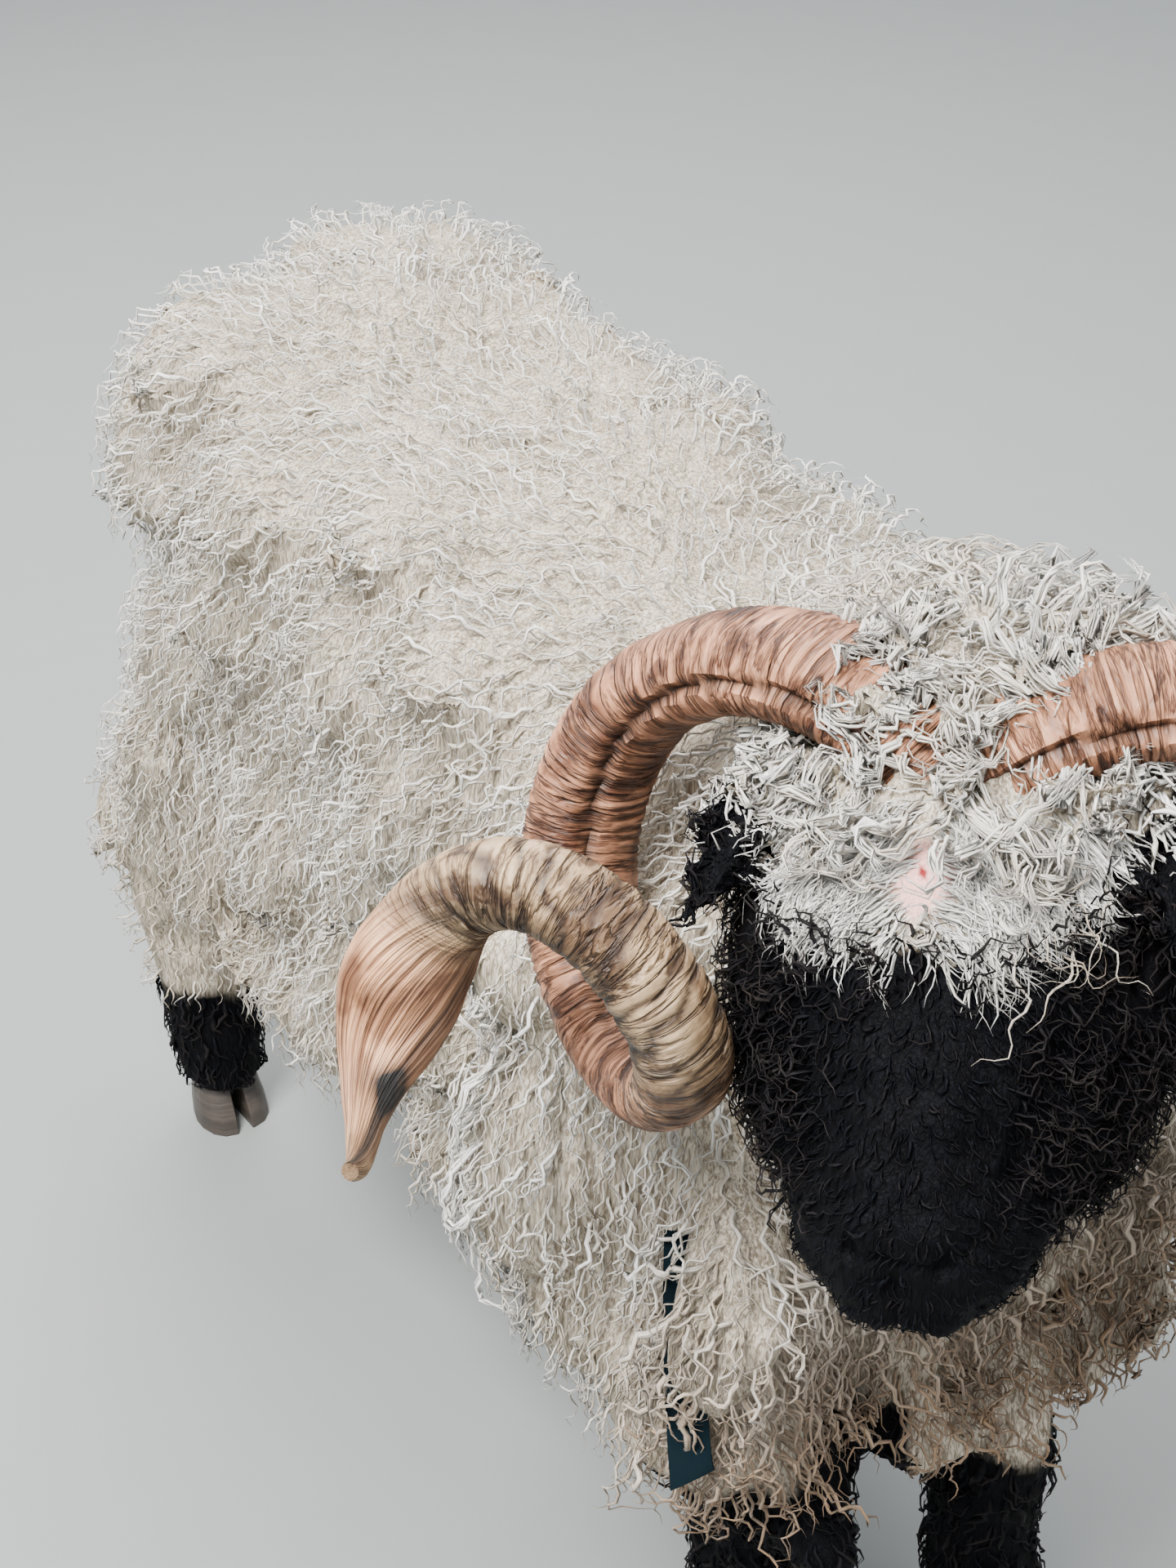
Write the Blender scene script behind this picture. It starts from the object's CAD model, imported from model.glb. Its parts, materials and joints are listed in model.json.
"""Looks of the blacknose ram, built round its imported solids.

Metres. The ram faces -Y, its left side is +X and its claws stand on z = 0. One skin takes the place of
the solids of flesh, locks of wool and short fur grow on it, and horns, eyes, claws and strap are pieces
of their own.
"""
import json
import logging
import math
from dataclasses import dataclass, field
from enum import Enum
from functools import cache, partial
from typing import Callable, Sequence

import bpy
import numpy as np
from mathutils import Matrix, Vector
from mathutils.bvhtree import BVHTree

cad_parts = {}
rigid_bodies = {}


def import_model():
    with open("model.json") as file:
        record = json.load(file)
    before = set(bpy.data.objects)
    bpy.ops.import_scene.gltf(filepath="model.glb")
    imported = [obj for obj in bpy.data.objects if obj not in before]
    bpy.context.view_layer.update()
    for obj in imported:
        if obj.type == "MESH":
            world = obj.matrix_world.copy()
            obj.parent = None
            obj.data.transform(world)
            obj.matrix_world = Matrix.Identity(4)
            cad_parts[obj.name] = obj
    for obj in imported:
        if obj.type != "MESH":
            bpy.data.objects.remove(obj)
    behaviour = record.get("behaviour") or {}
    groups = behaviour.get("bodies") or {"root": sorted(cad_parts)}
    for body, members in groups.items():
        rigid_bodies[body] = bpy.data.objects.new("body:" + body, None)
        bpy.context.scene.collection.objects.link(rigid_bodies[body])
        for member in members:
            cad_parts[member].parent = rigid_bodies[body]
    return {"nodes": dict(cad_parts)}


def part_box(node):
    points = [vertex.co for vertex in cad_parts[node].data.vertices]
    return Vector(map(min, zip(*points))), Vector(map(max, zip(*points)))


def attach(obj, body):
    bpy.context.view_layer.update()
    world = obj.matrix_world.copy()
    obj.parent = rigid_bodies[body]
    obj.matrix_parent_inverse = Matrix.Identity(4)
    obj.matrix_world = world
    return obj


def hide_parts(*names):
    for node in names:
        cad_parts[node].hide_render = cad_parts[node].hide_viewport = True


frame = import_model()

Socket = bpy.types.NodeSocket
Colour = tuple[float, float, float]
Triple = tuple[float, float, float]
Field = Callable[[np.ndarray], np.ndarray]

log = logging.getLogger("ram")
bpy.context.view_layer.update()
SEED = 11
# Corners closer than this are one, and a place closer than this to the head's shell lies on it
MERGE = 0.00002
ON_HEAD = 0.0004

# Head pose and the place of the right eye, as in the part's source
POLL = Vector((-0.090, -0.431, 0.915))
HEAD_POSE = (Matrix.Translation(POLL) @ Matrix.Rotation(math.radians(-54.5), 4, "Z")
             @ Matrix.Rotation(math.radians(49.7), 4, "X") @ Matrix.Rotation(math.radians(7.1), 4, "Z"))
EYE_PLACE = Vector((0.070, -0.128, -0.038))


def frame_shift() -> Vector:
    """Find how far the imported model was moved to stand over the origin.

    Returns:
        The move from the ram's own coordinates to the frame's.
    """
    low, high = (Vector(corner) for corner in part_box("eye_right"))
    shift = (low + high) / 2 - HEAD_POSE @ Vector((-EYE_PLACE.x, EYE_PLACE.y, EYE_PLACE.z))
    shift.z = 0.0
    return shift


SHIFT = frame_shift()
HEAD = Matrix.Translation(SHIFT) @ HEAD_POSE
HEAD_INVERSE = np.array(HEAD.inverted())


class Wool(Enum):
    """Kinds of wool and fur on the ram."""

    FLEECE = "fleece"
    TOPKNOT = "topknot"
    FACE = "face"
    BOOT = "boot"


class Slot(Enum):
    """Material slots of the record."""

    FLEECE = "fleece"
    BLACK_WOOL = "black_wool"
    HORN = "horn"
    EYE = "eye"
    HOOF = "hoof"
    WEBBING = "webbing"


def to_head(points: np.ndarray) -> np.ndarray:
    """Give points in the head's own frame: -Y to the nose, +X left, +Z out of the face."""
    return points @ HEAD_INVERSE[:3, :3].T + HEAD_INVERSE[:3, 3]


def to_own(points: np.ndarray) -> np.ndarray:
    """Give points in the ram's own coordinates, as in the part's source."""
    return points - np.array(SHIFT)


def from_head(ways: np.ndarray) -> np.ndarray:
    """Turn directions in the head's frame, one a row, into the model's."""
    return ways @ np.array(HEAD)[:3, :3].T


def columns(*values: np.ndarray | float) -> np.ndarray:
    """Put columns side by side, a number for a column that is even."""
    return np.stack(np.broadcast_arrays(*values), 1)


def unit(rows: np.ndarray) -> np.ndarray:
    """Scale the vectors in the last axis to length one."""
    return rows / np.maximum(np.linalg.norm(rows, axis=-1, keepdims=True), 1e-9)


def ripple(points: np.ndarray, size: float, salt: float) -> np.ndarray:
    """Soft unevenness in space, between about -1 and 1.

    Args:
        points: Places, one a row.
        size: Width of its features in metres.
        salt: Number that makes two ripples differ.

    Returns:
        One value a row.
    """
    total = np.zeros(len(points))
    for k, turn in enumerate((0.3, 1.7, 2.9, 4.4)):
        along = np.array([math.cos(turn + salt), math.sin(turn + salt), math.cos(2.1 * turn + salt)])
        waves = points @ unit(along) * (2 * math.pi / size)
        total += np.sin(waves * (0.8 + 0.23 * k) + 5.1 * salt + 1.3 * k)
    return total / 2.6


def smooth_step(value: np.ndarray | float, low: float, high: float) -> np.ndarray | float:
    """Go from 0 to 1 smoothly."""
    share = np.clip((value - low) / (high - low), 0.0, 1.0)
    return share * share * (3 - 2 * share)


# ---- operators -----------------------------------------------------------------------------------------


def select_only(*things: bpy.types.Object) -> None:
    """Deselect everything, then select these and make the first one active.

    Args:
        things: Objects to select.
    """
    bpy.ops.object.select_all(action="DESELECT")
    for thing in things:
        thing.select_set(True)
    bpy.context.view_layer.objects.active = things[0]


def apply_modifier(thing: bpy.types.Object, kind: str, **settings: object) -> None:
    """Add one modifier and apply it.

    Args:
        thing: Object to change.
        kind: The modifier's type.
        settings: Its values by name.
    """
    select_only(thing)
    step = thing.modifiers.new(kind.title(), kind)
    for name, value in settings.items():
        setattr(step, name, value)
    bpy.ops.object.modifier_apply(modifier=step.name)


def new_thing(name: str, data: bpy.types.ID) -> bpy.types.Object:
    """Put a new object into the scene.

    Args:
        name: Its name.
        data: Its mesh, lamp or camera.

    Returns:
        The object.
    """
    thing = bpy.data.objects.new(name, data)
    bpy.context.scene.collection.objects.link(thing)
    return thing


def edit_all(thing: bpy.types.Object, *steps: Callable[[], object]) -> None:
    """Select all of a mesh and run steps of edit mode on it.

    Args:
        thing: Object to edit.
        steps: Steps to run in order.
    """
    select_only(thing)
    bpy.ops.object.mode_set(mode="EDIT")
    bpy.ops.mesh.select_all(action="SELECT")
    for step in steps:
        step()
    bpy.ops.object.mode_set(mode="OBJECT")


def turn_outward(thing: bpy.types.Object, sharp: float) -> None:
    """Turn all faces outward and smooth what is less sharp than an angle in degrees."""
    edit_all(thing, partial(bpy.ops.mesh.normals_make_consistent, inside=False))
    bpy.ops.object.shade_smooth_by_angle(angle=math.radians(sharp))


def side_word(side: int) -> str:
    """Name of a side: 1 is the left one, -1 the right one."""
    return "left" if side > 0 else "right"


def copy_nodes(name: str, nodes: Sequence[str]) -> bpy.types.Object:
    """Join merged copies of CAD nodes into one new object.

    Args:
        name: Name of the new object.
        nodes: Names of the nodes.

    Returns:
        The joined copy.
    """
    copies = []
    for node in nodes:
        mesh = frame["nodes"][node].data.copy()
        mesh.materials.clear()
        copies.append(new_thing(name, mesh))
    select_only(*copies)
    if len(copies) > 1:
        bpy.ops.object.join()
    thing = copies[0]
    edit_all(thing, partial(bpy.ops.mesh.remove_doubles, threshold=MERGE))
    for stray in list(thing.data.attributes):
        if stray.name.startswith("custom_normal"):
            thing.data.attributes.remove(stray)
    return thing


def read_rows(rows: bpy.types.bpy_prop_collection, name: str) -> np.ndarray:
    """Read the vectors of a mesh's parts.

    Args:
        rows: The parts, such as its vertices.
        name: Name of the vector.

    Returns:
        Rows of x, y, z.
    """
    out = np.empty(len(rows) * 3)
    rows.foreach_get(name, out)
    return out.reshape(-1, 3)


def vertices_of(thing: bpy.types.Object) -> np.ndarray:
    """Read an object's corners as rows of x, y, z."""
    return read_rows(thing.data.vertices, "co")


def normals_of(thing: bpy.types.Object) -> np.ndarray:
    """Read an object's corner normals as rows of x, y, z."""
    return read_rows(thing.data.vertex_normals, "vector")


def move_vertices(thing: bpy.types.Object, places: np.ndarray) -> None:
    """Set an object's corners."""
    thing.data.vertices.foreach_set("co", np.ascontiguousarray(places, dtype=np.float32).ravel())
    thing.data.update()


def paint(thing: bpy.types.Object, name: str, values: np.ndarray) -> None:
    """Store a colour with each corner."""
    layer = thing.data.attributes.new(name, "FLOAT_COLOR", "POINT")
    layer.data.foreach_set("color", np.ascontiguousarray(values, dtype=np.float32).ravel())


def dress(thing: bpy.types.Object, material: bpy.types.Material) -> None:
    """Give a piece its finish and its place in the record, and let it ride on the ram.

    Args:
        thing: Piece to dress.
        material: Its finish.
    """
    thing.data.materials.clear()
    thing.data.materials.append(material)
    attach(thing, "root")
    log.info("%s: %d faces", thing.name, len(thing.data.polygons))


# ---- finishes ------------------------------------------------------------------------------------------


class Finish:
    """A material that wires its own nodes."""

    name: str = "finish"
    strands: Triple = (3.2, 0.55, 1.0)
    waves: float = 34.0
    sway: float = 0.40

    def __init__(self) -> None:
        """Start a material with a Principled shader and wire it."""
        self.material = bpy.data.materials.new(self.name)
        self.material.use_nodes = True
        self.tree = self.material.node_tree
        self.shader = self.tree.nodes["Principled BSDF"]
        self.wire()

    def wire(self) -> None:
        """Wire its nodes, each kind of finish in its own way."""

    def node(self, kind: str, **settings: object) -> bpy.types.Node:
        """Add a node and set its properties.

        Args:
            kind: Type of the node, without ShaderNode.
            settings: Properties by name.

        Returns:
            The node.
        """
        made = self.tree.nodes.new("ShaderNode" + kind)
        for name, value in settings.items():
            setattr(made, name, value)
        return made

    def link(self, source: Socket, target: Socket) -> None:
        """Join an output to an input."""
        self.tree.links.new(source, target)

    def feed(self, target: Socket, value: Socket | float | Colour) -> None:
        """Give an input what it reads.

        Args:
            target: The input.
            value: An output to join it to, or its number or colour.
        """
        if isinstance(value, Socket):
            self.link(value, target)
        else:
            target.default_value = (*value, 1.0) if isinstance(value, tuple) else value

    def set(self, **values: object) -> None:
        """Set sockets of the Principled shader, with _ for a space in the name."""
        for name, value in values.items():
            self.shader.inputs[name.replace("_", " ")].default_value = value

    def attribute(self, name: str) -> tuple[Socket, Socket, Socket]:
        """Read a painted colour.

        Args:
            name: Name of the attribute.

        Returns:
            Its red, green and blue.
        """
        parts = self.node("SeparateColor")
        self.link(self.node("Attribute", attribute_name=name).outputs["Color"], parts.inputs["Color"])
        return tuple(parts.outputs)

    def alpha(self, name: str) -> Socket:
        """Read a painted colour's alpha."""
        return self.node("Attribute", attribute_name=name).outputs["Alpha"]

    def object_place(self) -> Socket:
        """Object coordinates."""
        return self.node("TexCoord").outputs["Object"]

    def stretched(self, place: Socket, scale: Triple) -> Socket:
        """A place, stretched along its axes.

        Args:
            place: Coordinates.
            scale: Factors along the axes.

        Returns:
            The coordinates.
        """
        turn = self.node("Mapping")
        turn.inputs["Scale"].default_value = scale
        self.link(place, turn.inputs["Vector"])
        return turn.outputs["Vector"]

    def wound(self, scale: Triple) -> Socket:
        """The painted place round and along a horn, stretched."""
        return self.stretched(self.node("Attribute", attribute_name="wound").outputs["Vector"], scale)

    def scaled_uv(self, name: str, scale: Triple) -> Socket:
        """A UV map, stretched."""
        return self.stretched(self.node("UVMap", uv_map=name).outputs["UV"], scale)

    def wavy_strands(self) -> Socket:
        """Coordinates across and along a lock, in which its strands wave.

        Returns:
            The coordinates.
        """
        parts = self.node("SeparateXYZ")
        self.link(self.scaled_uv("Strand", self.strands), parts.inputs["Vector"])
        wave = self.math("SINE", self.math("MULTIPLY", parts.outputs["Y"], self.waves))
        wave = self.math("MULTIPLY", wave, self.sway)
        joined = self.node("CombineXYZ")
        self.link(self.math("ADD", parts.outputs["X"], wave), joined.inputs["X"])
        self.link(parts.outputs["Y"], joined.inputs["Y"])
        return joined.outputs["Vector"]

    def noise(self, place: Socket, scale: float, detail: float = 3.0,
              distortion: float = 0.0) -> Socket:
        """Noise at a place.

        Args:
            place: Coordinates.
            scale: Its fineness.
            detail: Its octaves.
            distortion: How much it swirls.

        Returns:
            The noise value.
        """
        made = self.node("TexNoise")
        self.link(place, made.inputs["Vector"])
        made.inputs["Scale"].default_value = scale
        made.inputs["Detail"].default_value = detail
        made.inputs["Distortion"].default_value = distortion
        return made.outputs["Fac"]

    def bands(self, direction: str, scale: float, distortion: float) -> Socket:
        """Bands of a weave.

        Args:
            direction: Which way they run.
            scale: Their fineness.
            distortion: How uneven they are.

        Returns:
            Their value.
        """
        made = self.node("TexWave", wave_type="BANDS", bands_direction=direction)
        self.link(self.scaled_uv("Weave", (1.0, 1.0, 1.0)), made.inputs["Vector"])
        made.inputs["Scale"].default_value = scale
        made.inputs["Distortion"].default_value = distortion
        return made.outputs["Fac"]

    def ramp(self, value: Socket, stops: Sequence[tuple[float, Colour]]) -> Socket:
        """Colours along a value.

        Args:
            value: What to read them by.
            stops: Place and colour of each stop.

        Returns:
            The colour.
        """
        made = self.node("ValToRGB")
        self.link(value, made.inputs["Fac"])
        row = made.color_ramp.elements
        while len(row) < len(stops):
            row.new(0.5)
        for element, (place, colour) in zip(row, stops):
            element.position = place
            element.color = (*colour, 1.0)
        return made.outputs["Color"]

    def mix(self, share: Socket | float, first: Socket | Colour, second: Socket | Colour,
            blend: str = "MIX") -> Socket:
        """Mix two colours.

        Args:
            share: How much of the second one.
            first: A colour or the output that gives it.
            second: The other colour.
            blend: How they meet.

        Returns:
            The mixed colour.
        """
        made = self.node("Mix", data_type="RGBA", blend_type=blend)
        self.feed(made.inputs["Factor"], share)
        for socket, value in zip((each for each in made.inputs if each.type == "RGBA"), (first, second)):
            self.feed(socket, value)
        return next(socket for socket in made.outputs if socket.type == "RGBA")

    def darken(self, colour: Socket, share: float, value: Socket, *stops: tuple[float, Colour]) -> Socket:
        """Multiply a colour by colours along a value."""
        return self.mix(share, colour, self.ramp(value, stops), "MULTIPLY")

    def math(self, operation: str, first: Socket | float, second: Socket | float = 0.0) -> Socket:
        """Reckon with two values.

        Args:
            operation: What to do.
            first: A number or an output.
            second: The other one.

        Returns:
            The result.
        """
        made = self.node("Math", operation=operation)
        self.feed(made.inputs[0], first)
        self.feed(made.inputs[1], second)
        return made.outputs[0]

    def bump(self, height: Socket, distance: float, strength: float = 1.0) -> None:
        """Raise the surface a little.

        Args:
            height: Height between 0 and 1.
            distance: Height of 1, in metres.
            strength: How much of it shows.
        """
        made = self.node("Bump")
        self.link(height, made.inputs["Height"])
        made.inputs["Distance"].default_value = distance
        made.inputs["Strength"].default_value = strength
        self.link(made.outputs["Normal"], self.shader.inputs["Normal"])

    def colour(self, socket: Socket) -> None:
        """Use an output as the base colour."""
        self.link(socket, self.shader.inputs["Base Color"])


WHITE = (1.0, 1.0, 1.0)


class WoolFinish(Finish):
    """White wool. The tint is light or dark, how far along the lock, dirt, and how black."""

    name: str = "wool"
    bright: Colour = (0.96, 0.94, 0.89)
    cream: Colour = (0.66, 0.57, 0.43)
    stained: Colour = (0.30, 0.18, 0.09)
    gap: Colour = (0.52, 0.46, 0.38)

    def wire(self) -> None:
        """Wire its nodes."""
        tone, _, dirt = self.attribute("tint")
        streak = self.noise(self.wavy_strands(), 2.2, 3.0)
        white = self.mix(dirt, self.mix(tone, self.cream, self.bright), self.stained)
        self.colour(self.darken(white, 0.9, streak, (0.38, self.gap), (0.50, WHITE)))
        self.bump(streak, 0.0016, 0.9)
        self.set(Roughness=0.55, Sheen_Weight=0.25, Sheen_Roughness=0.45, Specular_IOR_Level=0.35)


class BlackWoolFinish(Finish):
    """Black wool and fur with a cool sheen, brown at some tips."""

    name: str = "black_wool"
    black: Colour = (0.0022, 0.0022, 0.0032)
    brownish: Colour = (0.040, 0.031, 0.026)

    def wire(self) -> None:
        """Wire its nodes."""
        tone, along, _ = self.attribute("tint")
        streak = self.noise(self.wavy_strands(), 2.2, 3.0)
        dark = self.mix(self.math("MULTIPLY", tone, along), self.black, self.brownish)
        self.colour(self.darken(dark, 0.6, streak, (0.35, (0.4, 0.4, 0.4)), (0.6, WHITE)))
        self.bump(streak, 0.0006, 0.7)
        self.set(Roughness=0.55, Specular_IOR_Level=0.07, Specular_Tint=(0.75, 0.85, 1.0, 1.0))


class HideFinish(Finish):
    """Skin under the wool, pink where it is bare on the brow and black on the face."""

    name: str = "hide"
    wool: Colour = (0.62, 0.55, 0.45)
    pink: Colour = (0.80, 0.43, 0.38)
    sore: Colour = (0.25, 0.03, 0.03)
    black: Colour = (0.0022, 0.0022, 0.0032)

    def wire(self) -> None:
        """Wire its nodes."""
        _, bare, dot = self.attribute("tint")
        place = self.object_place()
        lie = self.node("Mapping")
        lie.inputs["Rotation"].default_value = (math.radians(28.0), 0.0, 0.0)
        lie.inputs["Scale"].default_value = (520.0, 520.0, 75.0)
        self.link(place, lie.inputs["Vector"])
        fuzz = self.noise(lie.outputs["Vector"], 1.0, 4.0, 0.9)
        cloth = self.mix(self.noise(place, 60.0), (0.36, 0.30, 0.22), self.wool)
        pale = self.mix(dot, self.mix(bare, cloth, self.pink), self.sore)
        body = self.mix(self.alpha("tint"), pale, self.black)
        wooled = self.darken(body, 1.0, fuzz, (0.40, (0.45, 0.42, 0.38)), (0.60, (1.15, 1.15, 1.15)))
        self.colour(self.mix(self.math("SUBTRACT", 1.0, bare), body, wooled))
        self.bump(fuzz, 0.0022, 0.9)
        self.set(Roughness=0.65, Specular_IOR_Level=0.06)


class HornFinish(Finish):
    """Ringed horn. Its growth marks are painted on, and a wound place runs round and along the horn."""

    name: str = "horn_keratin"
    salmon: Colour = (0.33, 0.155, 0.088)
    tan: Colour = (0.27, 0.185, 0.108)
    orange: Colour = (0.45, 0.235, 0.130)
    tip: Colour = (0.42, 0.27, 0.15)
    crack: Colour = (0.034, 0.018, 0.011)
    black: Colour = (0.007, 0.006, 0.005)

    def wire(self) -> None:
        """Wire its nodes."""
        share, band, dark = self.attribute("growth")
        zones = self.ramp(share, ((0.0, self.salmon), (0.36, self.salmon), (0.46, self.tan),
                                  (0.68, self.tan), (0.75, self.orange), (0.86, self.orange),
                                  (1.0, self.tip)))
        wrinkle = self.noise(self.wound((15.0, 15.0, 150.0)), 1.0, 4.0, 0.6)
        apart = self.math("ABSOLUTE", self.math("SUBTRACT", wrinkle, 0.5))
        fine = self.math("MINIMUM", self.math("MULTIPLY", apart, 11.0), 1.0)
        plates = self.noise(self.wound((30.0, 30.0, 95.0)), 1.0, 4.0, 0.8)
        blotch = self.noise(self.wound((24.0, 24.0, 22.0)), 1.0, 6.0, 0.6)
        grain = self.noise(self.wound((330.0, 330.0, 14.0)), 1.0, 3.0, 0.2)
        toned = self.darken(zones, 0.9, blotch, (0.36, (0.30, 0.23, 0.19)), (0.47, (0.90, 0.87, 0.83)),
                            (0.66, (1.60, 1.66, 1.70)))
        ringed = self.darken(toned, 0.9, fine, (0.0, (0.16, 0.10, 0.08)), (0.22, (0.78, 0.73, 0.69)),
                             (0.80, (1.15, 1.13, 1.10)))
        ringed = self.darken(ringed, 0.85, plates, (0.38, (0.20, 0.14, 0.11)), (0.45, (0.95, 0.94, 0.92)),
                             (0.62, (1.12, 1.1, 1.08)))
        grained = self.darken(toned, 0.85, grain, (0.38, (0.34, 0.25, 0.20)), (0.5, (0.92, 0.9, 0.88)),
                              (0.62, (1.25, 1.2, 1.1)))
        spoon = self.node("MapRange")
        self.link(share, spoon.inputs["Value"])
        spoon.inputs["From Min"].default_value = 0.66
        spoon.inputs["From Max"].default_value = 0.73
        surface = self.mix(spoon.outputs["Result"], ringed, grained)
        surface = self.mix(band, surface, self.crack)
        ragged = self.math("MULTIPLY", dark, self.math("ADD", 0.35, self.math("MULTIPLY", blotch, 1.3)))
        surface = self.mix(ragged, surface, self.black)
        self.colour(surface)
        rough = self.mix(0.5, fine, plates)
        self.bump(self.mix(spoon.outputs["Result"], rough, grain), 0.0050, 1.0)
        self.set(Roughness=0.52, Specular_IOR_Level=0.35)


class EyeFinish(Finish):
    """Wet eye with an amber ring and a level pupil."""

    name: str = "eye_wet"
    amber: Colour = (0.30, 0.15, 0.04)
    brown: Colour = (0.20, 0.09, 0.025)
    rim: Colour = (0.02, 0.012, 0.008)
    pupil: Colour = (0.004, 0.004, 0.005)

    def wire(self) -> None:
        """Wire its nodes."""
        iris, pupil, _ = self.attribute("gaze")
        ring = self.ramp(iris, ((0.0, self.rim), (0.45, self.amber), (0.62, self.brown),
                                (0.78, self.rim)))
        fibre = self.noise(self.object_place(), 900.0, 2.0)
        ring = self.darken(ring, 0.4, fibre, (0.3, (0.6, 0.6, 0.6)), (0.7, (1.2, 1.2, 1.2)))
        self.colour(self.mix(pupil, ring, self.pupil))
        self.set(Roughness=0.06, Coat_Weight=1.0, Coat_Roughness=0.02, Specular_IOR_Level=0.6)


class HoofFinish(Finish):
    """Dark hoof with growth lines."""

    name: str = "hoof_keratin"
    dark: Colour = (0.030, 0.025, 0.022)
    worn: Colour = (0.075, 0.058, 0.046)

    def wire(self) -> None:
        """Wire its nodes."""
        lines = self.noise(self.stretched(self.object_place(), (6.0, 6.0, 120.0)), 2.2, 4.0, 0.3)
        wear = self.noise(self.object_place(), 45.0, 4.0)
        base = self.mix(wear, self.dark, self.worn)
        self.colour(self.darken(base, 0.6, lines, (0.35, (0.5, 0.5, 0.5)), (0.65, (1.1, 1.1, 1.1))))
        self.bump(lines, 0.0010, 0.8)
        self.set(Roughness=0.42, Specular_IOR_Level=0.4)


class WebbingFinish(Finish):
    """Woven strap, dark blue-green."""

    name: str = "webbing"
    thread: Colour = (0.006, 0.026, 0.036)
    gap: Colour = (0.003, 0.008, 0.012)

    def wire(self) -> None:
        """Wire its nodes."""
        height = self.math("MULTIPLY", self.bands("DIAGONAL", 1.0, 0.6), self.bands("Y", 0.8, 0.0))
        wear = self.noise(self.object_place(), 70.0, 4.0)
        woven = self.mix(height, self.gap, self.thread)
        self.colour(self.mix(self.math("MULTIPLY", wear, 0.08), woven, (0.05, 0.07, 0.08)))
        self.bump(height, 0.0006, 0.9)
        self.set(Roughness=0.8, Specular_IOR_Level=0.05)


class FloorFinish(Finish):
    """Plain pale floor."""

    name: str = "pale_floor"
    tone: Colour = (0.23, 0.24, 0.23)

    def wire(self) -> None:
        """Wire its nodes."""
        speck = self.noise(self.object_place(), 14.0, 3.0)
        self.colour(self.mix(speck, tuple(0.95 * part for part in self.tone), self.tone))
        self.set(Roughness=0.8)


# ---- skin ----------------------------------------------------------------------------------------------

LEGS = ("foreleg_left", "foreleg_right", "hindleg_left", "hindleg_right")
FEET = {"foreleg_left": (0.062, -0.388), "foreleg_right": (-0.100, -0.345),
        "hindleg_left": (0.135, 0.385), "hindleg_right": (-0.148, 0.425)}
BOOT_TOP = {"foreleg_left": 0.250, "foreleg_right": 0.335, "hindleg_left": 0.160, "hindleg_right": 0.148}
# How far behind its claws a leg stands, and the room that it takes
LEG_BACK = 0.02
LEG_CENTRES = np.array([FEET[name] for name in LEGS]) + np.array([SHIFT.x, SHIFT.y + LEG_BACK])
LEG_REACH = 0.110
LEG_TOP = 0.36


def nearest_leg(points: np.ndarray) -> np.ndarray:
    """Tell which leg is nearest in plan."""
    return np.argmin(np.linalg.norm(points[:, None, :2] - LEG_CENTRES[None], axis=2), axis=1)


def near_leg(points: np.ndarray) -> np.ndarray:
    """Tell what stands close round a leg, below the hem."""
    away = np.linalg.norm(points[:, :2] - LEG_CENTRES[nearest_leg(points)], axis=1)
    return (away < LEG_REACH) & (points[:, 2] < LEG_TOP)


def black_on_body(points: np.ndarray) -> np.ndarray:
    """How black trunk, neck and legs are: cream wool above, black boots below.

    Args:
        points: Places, one a row.

    Returns:
        0 for cream to 1 for black, one a row.
    """
    tops = np.array([BOOT_TOP[name] for name in LEGS])[nearest_leg(points)]
    tops = tops + 0.010 * ripple(points, 0.05, 0.7)
    return near_leg(points) * smooth_step(-points[:, 2], -tops - 0.006, -tops + 0.006)


def white_margin(points: np.ndarray) -> np.ndarray:
    """How far up the face a place stands from the edge between black and white.

    Args:
        points: Places, one a row.

    Returns:
        Metres, above 0 on the white side.
    """
    local = to_head(points)
    x, y, _ = local.T
    edge = -0.134 + 1.6 * np.maximum(np.abs(x + 0.008) - 0.030, 0.0) ** 1.3
    edge += 0.75 * np.maximum(x - 0.045, 0.0)
    return y - edge - 0.006 * ripple(local, 0.03, 1.1)


def black_on_head(points: np.ndarray) -> np.ndarray:
    """How black the head is: white topknot and brow, black face and ears.

    Args:
        points: Places, one a row.

    Returns:
        0 for white to 1 for black, one a row.
    """
    x, y, z = to_head(points).T
    black = smooth_step(-white_margin(points), -0.004, 0.004)
    cheek = smooth_step(-z, 0.050, 0.062) * smooth_step(-y, 0.030, 0.045)
    side = smooth_step(np.abs(x), 0.080, 0.088) * smooth_step(-y, 0.060, 0.070)
    return np.clip(np.maximum(black, np.maximum(cheek, side)), 0.0, 1.0)


# The bare spot's middle in the head's frame, its height there and its reach, and the sore in it
BARE_SPOT = (-0.007, -0.100)
BARE_HEIGHT = 0.012
BARE_REACH = 0.015
SORE_AHEAD = 0.003
SORE_REACH = 0.0022


def bare_brow(points: np.ndarray) -> np.ndarray:
    """Where pink skin shows on the brow, from 0 to 1.

    Args:
        points: Places, one a row.

    Returns:
        One value a row.
    """
    local = to_head(points)
    reach = np.hypot(local[:, 0] - BARE_SPOT[0], (local[:, 1] - BARE_SPOT[1]) / 1.15)
    return 1.0 - smooth_step(reach / 0.017 + 0.12 * ripple(local, 0.02, 2.0), 0.55, 1.15)


def curtain_front(points: np.ndarray) -> np.ndarray:
    """How far a place is in front of the edge where the shoulder's wool overhangs the flank.

    Args:
        points: Places, one a row.

    Returns:
        Metres, above 0 on the shoulder.
    """
    own = to_own(points)
    edge = -0.188 - 0.57 * np.maximum(0.45 - own[:, 2], 0) + 0.25 * np.maximum(own[:, 2] - 0.63, 0)
    return edge - own[:, 1]


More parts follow.
